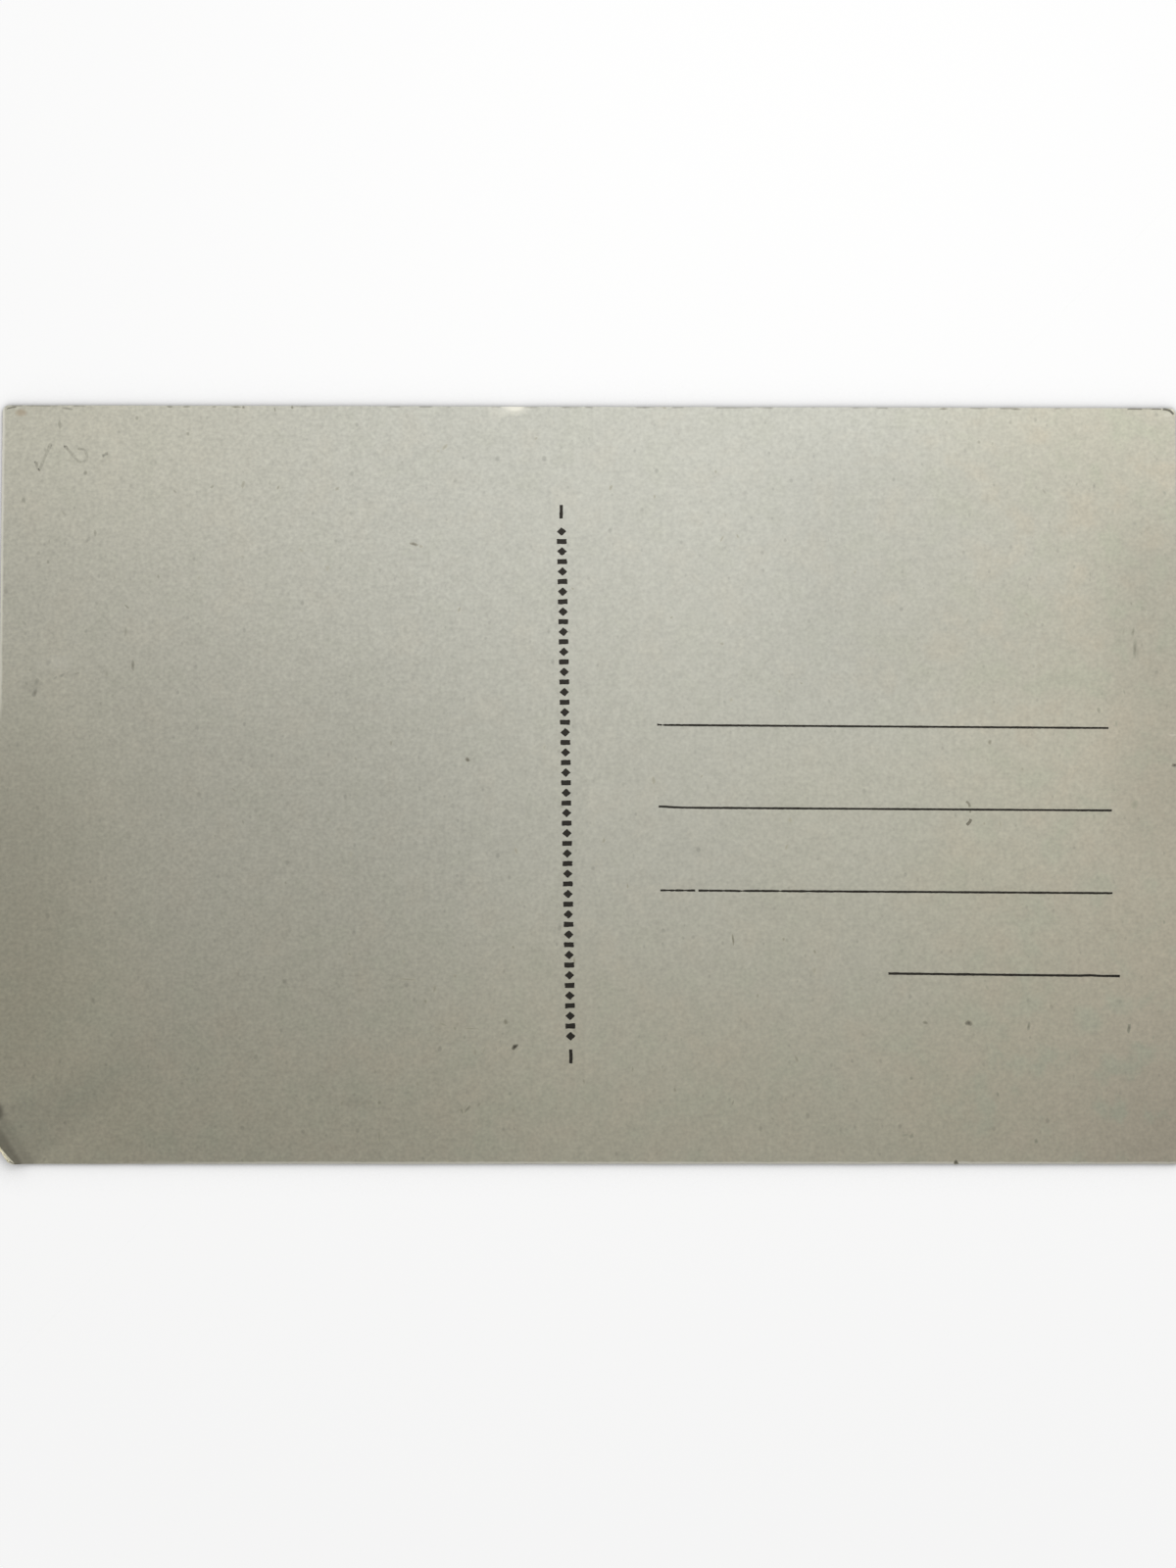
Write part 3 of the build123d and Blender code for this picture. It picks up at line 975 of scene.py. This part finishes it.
class POSTCARD_OT_paste_films(bpy.types.Operator):
    """Finishes the two paste films, which keep the shape they have in the frame"""

    bl_idname = "postcard.paste_films"
    bl_label = "Paste Films"

    def execute(self, context):
        paste = paste_finish(context.scene.postcard_colours, context.scene.postcard_sizes)
        for node in ("address_paste_film", "picture_paste_film"):
            frame["nodes"][node].data.materials.clear()
            frame["nodes"][node].data.materials.append(paste)
        return {"FINISHED"}


class POSTCARD_OT_picture(bpy.types.Operator):
    """Prints a plain view on the picture side"""

    bl_idname = "postcard.picture"
    bl_label = "Printed Picture"

    def execute(self, context):
        low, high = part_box("picture_print")
        rise = context.scene.postcard_print.ink_rise
        size, middle = high - low, (low + high) / 2
        film = added_plane("picture_ink", size.x, size.y, (middle.x, middle.y, high.z - rise))
        edit()
        round_off(0.4 * MM)
        divide(film, 0.6 * MM, 15, passes=2)

        def uneven(co):
            inward = Vector((middle.x - co.x, middle.y - co.y, 0)).normalized()
            co += inward * abs(wander(co, 0.06 * MM, seed=17.3))

        reshape(film, uneven)
        bpy.ops.object.mode_set(mode="OBJECT")
        thicken(film, size.z)
        dress(film, "picture_ink", picture_finish(context.scene.postcard_colours))
        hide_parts("picture_print")
        return {"FINISHED"}


def rule(number, finish, weight, trim=0.0, gaps=(), swings=(), pinches=()):
    """One address rule: a long strip with rough edges, gaps where the ink missed, swings and thin places."""
    sizes = bpy.context.scene.postcard_print
    node = f"address_rule_{number}"
    low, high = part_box(node)
    middle = (low + high) / 2
    fall = (high.y - low.y - sizes.rule_width) / (high.x - low.x)
    length = high.x - low.x - trim * MM
    place = (low.x + length / 2, middle.y, FACE_TOP + sizes.ink_rise)
    strip = added_plane(f"rule_{number}_ink", length, sizes.rule_width, place)
    edit()
    step = 0.14 * MM
    divide(strip, 1.5 * sizes.rule_width, round(math.sqrt(length / step)), passes=2)
    for gap_start, gap_end in gaps:
        choose(strip, lambda co: gap_start * MM < co.x < gap_end * MM)
        bpy.ops.mesh.delete(type="VERT")

    def hump(along, places):
        """The sum of smooth humps at these places along the rule."""
        return sum(size * math.exp(-(((along / MM - at) / spread) ** 2)) for at, spread, size in places)

    def printed(co):
        side = math.copysign(1.0, co.y - middle.y)
        rough = noise.noise(Vector((co.x * 2600, side * 7.0, number * 3.1)))
        swell = noise.noise(Vector((co.x * 420, 1.0, number * 5.3)))
        half = weight * sizes.rule_width / 2 + (0.024 * rough + 0.02 * swell) * MM
        half *= 1 - hump(co.x, pinches)
        co.y = middle.y - fall * (co.x - middle.x) + hump(co.x, swings) * MM + side * half

    reshape(strip, printed)
    bpy.ops.object.mode_set(mode="OBJECT")
    thicken(strip, sizes.ink_rise + sizes.impression)
    modify(strip, "BEVEL", width=0.003 * MM, segments=1, limit_method="ANGLE", use_clamp_overlap=False)
    dress(strip, "black_ink", finish)
    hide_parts(node)


class POSTCARD_OT_rules(bpy.types.Operator):
    """Builds the ink of the four address rules"""

    bl_idname = "postcard.rules"
    bl_label = "Address Rules"

    def execute(self, context):
        finish = ink_finish(context.scene.postcard_colours)
        nipped = ((8.42, 0.12, 0.3), (8.75, 0.1, 0.92))
        rule(1, finish, 0.87, trim=0.33, swings=((8.1, 0.4, 0.04),), pinches=nipped)
        rule(2, finish, 0.87, swings=((8.2, 2.0, 0.12),))
        rule(3, finish, 0.88, gaps=((12.65, 12.95),), swings=((17.8, 0.5, -0.03),), pinches=THIN_PLACES)
        rule(4, finish, 0.94, swings=((59.5, 0.8, 0.05),))
        return {"FINISHED"}


def ornament(name, shape, places, finish, node):
    """One ornament copied along the divider, each copy a little out of place, as worn type prints."""
    sizes = bpy.context.scene.postcard_print
    luck = random.Random(name)
    axis = Vector((-math.sin(sizes.lean), math.cos(sizes.lean), 0))
    copies = []
    for place in places:
        copy = shape.copy()
        copy.data = shape.data.copy()
        bpy.context.scene.collection.objects.link(copy)
        for vertex in copy.data.vertices:
            vertex.co.x += luck.uniform(-0.03, 0.03) * MM
            vertex.co.y += luck.uniform(-0.03, 0.03) * MM
        copy.location = Vector((-sizes.divider_offset, 0, FACE_TOP + sizes.ink_rise)) + axis * place
        copy.rotation_euler.z = sizes.lean + luck.uniform(-0.02, 0.02)
        copies.append(copy)
    bpy.data.objects.remove(shape)
    row = joined(name, copies)
    settle(row)
    dress(row, "black_ink", finish)
    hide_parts(node)


def ink_block(length, width, lozenge=False):
    """A small inked shape at the origin, thickened downwards, with softened corners."""
    sizes = bpy.context.scene.postcard_print
    block = added_plane("ink_block", length, width, (0, 0, 0), lozenge)
    edit()
    round_off(0.06 * MM, segments=2)
    divide(block, 0.3 * MM, 2)
    bpy.ops.object.mode_set(mode="OBJECT")
    thicken(block, sizes.ink_rise + sizes.impression)
    return block


class POSTCARD_OT_divider(bpy.types.Operator):
    """Builds the ink of the dividing ornament"""

    bl_idname = "postcard.divider"
    bl_label = "Dividing Ornament"

    def execute(self, context):
        sizes = context.scene.postcard_print
        finish = bpy.data.materials.get("letterpress_ink") or ink_finish(context.scene.postcard_colours)
        low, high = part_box("divider_lozenges")
        pitch = 2 * sizes.sort_pitch
        count = round((high.y - low.y - sizes.lozenge_along) / pitch) + 1
        places = [pitch * (number - (count - 1) / 2) for number in range(count)]
        lozenge = ink_block(sizes.across, sizes.lozenge_along, lozenge=True)
        ornament("divider_lozenge_ink", lozenge, places, finish, "divider_lozenges")
        bar = ink_block(sizes.across, sizes.bar_width)
        between = [place + pitch / 2 for place in places[:-1]]
        ornament("divider_bar_ink", bar, between, finish, "divider_bars")
        dash = ink_block(sizes.dash_width, sizes.dash_length)
        end = (sizes.divider_length - sizes.dash_length) / 2
        ornament("divider_dash_ink", dash, [-end, end], finish, "divider_dashes")
        return {"FINISHED"}


class POSTCARD_OT_pencil(bpy.types.Operator):
    """Draws a plain pencil tick and a loose curl in the top left corner"""

    bl_idname = "postcard.pencil"
    bl_label = "Pencil Marks"

    def execute(self, context):
        tones = context.scene.postcard_colours
        low, high = FACE_TOP - MARK_SINK, FACE_TOP + 0.003 * MM
        strokes = []
        for number, (width, line) in enumerate(PENCIL_LINES):
            points = eased([Vector(point) * MM for point in line])
            luck = random.Random(number)
            widths = [width * MM * luck.uniform(0.7, 1.1) for _ in points]
            widths[0] = widths[-1] = 0.6 * width * MM
            mark = stroke("pencil_stroke", points, widths, low, high)

            def pressure(place):
                from_end = min((place.xy - points[0]).length, (place.xy - points[-1]).length)
                return 0.15 + 0.32 * math.exp(-((from_end / (0.5 * MM)) ** 2))

            strokes.append(shade_piece(mark, pressure))
        marks = joined("pencil_marks", strokes)
        dress(marks, "black_ink", graphite_finish(tones))
        return {"FINISHED"}


class POSTCARD_OT_flecks(bpy.types.Operator):
    """Scatters the dark flecks and stray fibres of the address side, and the dark marks that paint the shade
    in cracks and nicks along its top edge
    """

    bl_idname = "postcard.flecks"
    bl_label = "Flecks And Fibres"

    def execute(self, context):
        tones = context.scene.postcard_colours
        low, high = FACE_TOP - MARK_SINK, FACE_TOP + 0.002 * MM
        bits = []
        for values in NOTABLE_FLECKS_AND_NICK_SHADE:
            bits.append(fleck(*values, low, high))
        luck = random.Random(SCATTER_SEED)
        for _ in range(SCATTERED_FLECKS):
            across, along = luck.uniform(-68, 69), luck.uniform(-43, 44)
            length, width = luck.uniform(0.25, 0.7), luck.uniform(0.16, 0.32)
            lean, shade = luck.gauss(0, 0.6), luck.uniform(0.12, 0.4)
            on_flat = across + along > -106
            if on_flat:
                bits.append(fleck(across, along, length, width, lean, shade, low, high))
        for shade, width, line in FIBRES_AND_CRACK_SHADE:
            points = eased([Vector(point) * MM for point in line])
            fibre = stroke("fibre", points, [width * MM] * len(points), low, high)
            bits.append(shade_piece(fibre, lambda co: shade))
        scattered = joined("paper_flecks", bits)
        dress(scattered, "face_paper", fleck_finish(tones))
        return {"FINISHED"}


def seen_plainly(flow):
    """1 for rays that show the background itself: to the camera, off gloss or through glass."""
    kinds = ("Is Camera Ray", "Is Glossy Ray", "Is Transmission Ray")
    return capped(summed([flow.node("ShaderNodeLightPath", out=kind) for kind in kinds]), 1.0)


class POSTCARD_OT_stage(bpy.types.Operator):
    """Lays the floor and sets the lamps, the world and the camera"""

    bl_idname = "postcard.stage"
    bl_label = "Stage"

    def execute(self, context):
        stage = context.scene.postcard_stage
        self.floor()
        self.lamp("main_lamp", stage.lamp_place, (140 * MM, 60 * MM), stage.lamp_power, (1.0, 1.0, 1.0))
        fill = self.lamp("fill_lamp", stage.fill_place, (80 * MM, 16 * MM), stage.fill_power, WARM)
        turned_up_corner = Vector((-69 * MM, -44 * MM, 1 * MM))
        fill.rotation_euler = (turned_up_corner - stage.fill_place).to_track_quat("-Z", "Y").to_euler()
        self.world(context.scene, stage.world_level)
        self.camera(context.scene, stage)
        context.scene.view_settings.view_transform = "Standard"
        return {"FINISHED"}

    def floor(self):
        """A pale floor just under the card. Where it is seen it glows white, darkened by ambient occlusion
        into a painted contact shadow around the card, and a small matte share keeps the card's cast shadow.
        """
        floor = added_plane("floor", 6.0, 6.0, (0, 0, -0.02 * MM))
        material, place = start("floor_white")
        # Ambient occlusion darkens the glow near the card: a painted contact shadow
        painted_shadow_ao = place.node("ShaderNodeAmbientOcclusion", {"samples": 8}, {"Distance": 4 * MM}, out="AO")
        glow = place.node("ShaderNodeEmission", (), {"Color": (1, 1, 1, 1), "Strength": painted_shadow_ao * painted_shadow_ao})
        matte = place.node("ShaderNodeBsdfDiffuse", (), {"Color": (0.85, 0.85, 0.84, 1)})
        away = place.node("ShaderNodeVectorMath", {"operation": "LENGTH"}, {0: place}, out="Value")
        share = seen_plainly(place) * (0.88 + 0.12 * fade(away, 90, 260))
        both = place.node("ShaderNodeMixShader", (), {0: share, 1: matte, 2: glow})
        place.node("ShaderNodeOutputMaterial", (), {"Surface": both}, out=None)
        floor.data.materials.append(material)

    def lamp(self, name, place, size, power, tint):
        """A rectangular lamp, which faces down until it is turned."""
        light = bpy.data.lights.new(name, "AREA")
        light.shape = "RECTANGLE"
        light.size, light.size_y = size
        light.energy = power
        light.color = tint
        lamp = bpy.data.objects.new(name, light)
        bpy.context.scene.collection.objects.link(lamp)
        lamp.location = place
        lamp.visible_camera = False
        return lamp

    def world(self, scene, level):
        """A dim warm room that looks white."""
        scene.world = bpy.data.worlds.new("pale_room")
        scene.world.use_nodes = True
        scene.world.node_tree.nodes.clear()
        flow = Flow(scene.world.node_tree)
        white = flow.node("ShaderNodeBackground", (), {"Color": (1, 1, 1, 1), "Strength": 1.0})
        dim = flow.node("ShaderNodeBackground", (), {"Color": (*WARM, 1), "Strength": level})
        both = flow.node("ShaderNodeMixShader", (), {0: seen_plainly(flow), 1: dim, 2: white})
        flow.node("ShaderNodeOutputWorld", (), {"Surface": both}, out=None)

    def camera(self, scene, stage):
        """A camera over the card, leaning as in the photograph."""
        eye = bpy.data.cameras.new("camera")
        eye.lens = 50.0
        eye.sensor_width = 36.0
        eye.clip_start = 0.01
        camera = bpy.data.objects.new("camera", eye)
        scene.collection.objects.link(camera)
        aim = Vector((-0.1 * MM, -0.145 * MM, FACE_TOP))
        back = Vector((-math.tan(stage.swing), -math.tan(stage.tilt), 1)).normalized()
        camera.location = aim + back * stage.distance
        camera.rotation_euler = (stage.tilt, -stage.swing, stage.roll)
        scene.camera = camera


class POSTCARD_PT_panel(bpy.types.Panel):
    """Lists the steps that build the postcard"""

    bl_idname = "POSTCARD_PT_panel"
    bl_label = "Postcard"
    bl_space_type = "VIEW_3D"
    bl_region_type = "UI"
    bl_category = "Postcard"

    def draw(self, context):
        for step in STEPS:
            self.layout.operator(step.bl_idname)
        for group in GROUPS:
            settings = getattr(context.scene, group)
            for name in settings.bl_rna.properties.keys():
                if name not in ("name", "rna_type"):
                    self.layout.prop(settings, name)


STEPS = (
    POSTCARD_OT_address_paper,
    POSTCARD_OT_core_board,
    POSTCARD_OT_picture_paper,
    POSTCARD_OT_paste_films,
    POSTCARD_OT_picture,
    POSTCARD_OT_rules,
    POSTCARD_OT_divider,
    POSTCARD_OT_pencil,
    POSTCARD_OT_flecks,
    POSTCARD_OT_stage,
)
GROUPS = {
    "postcard_sizes": PostcardSizes,
    "postcard_print": PostcardPrint,
    "postcard_colours": PostcardColours,
    "postcard_stage": PostcardStage,
}


def register():
    for item in (*GROUPS.values(), *STEPS, POSTCARD_PT_panel):
        bpy.utils.register_class(item)
    for name, group in GROUPS.items():
        setattr(bpy.types.Scene, name, bpy.props.PointerProperty(type=group))


def unregister():
    for name in GROUPS:
        delattr(bpy.types.Scene, name)
    for item in (POSTCARD_PT_panel, *reversed(STEPS), *GROUPS.values()):
        bpy.utils.unregister_class(item)


def main():
    register()
    bpy.ops.postcard.address_paper()
    bpy.ops.postcard.core_board()
    bpy.ops.postcard.picture_paper()
    bpy.ops.postcard.paste_films()
    bpy.ops.postcard.picture()
    bpy.ops.postcard.rules()
    bpy.ops.postcard.divider()
    bpy.ops.postcard.pencil()
    bpy.ops.postcard.flecks()
    bpy.ops.postcard.stage()


if __name__ == "__main__":
    main()
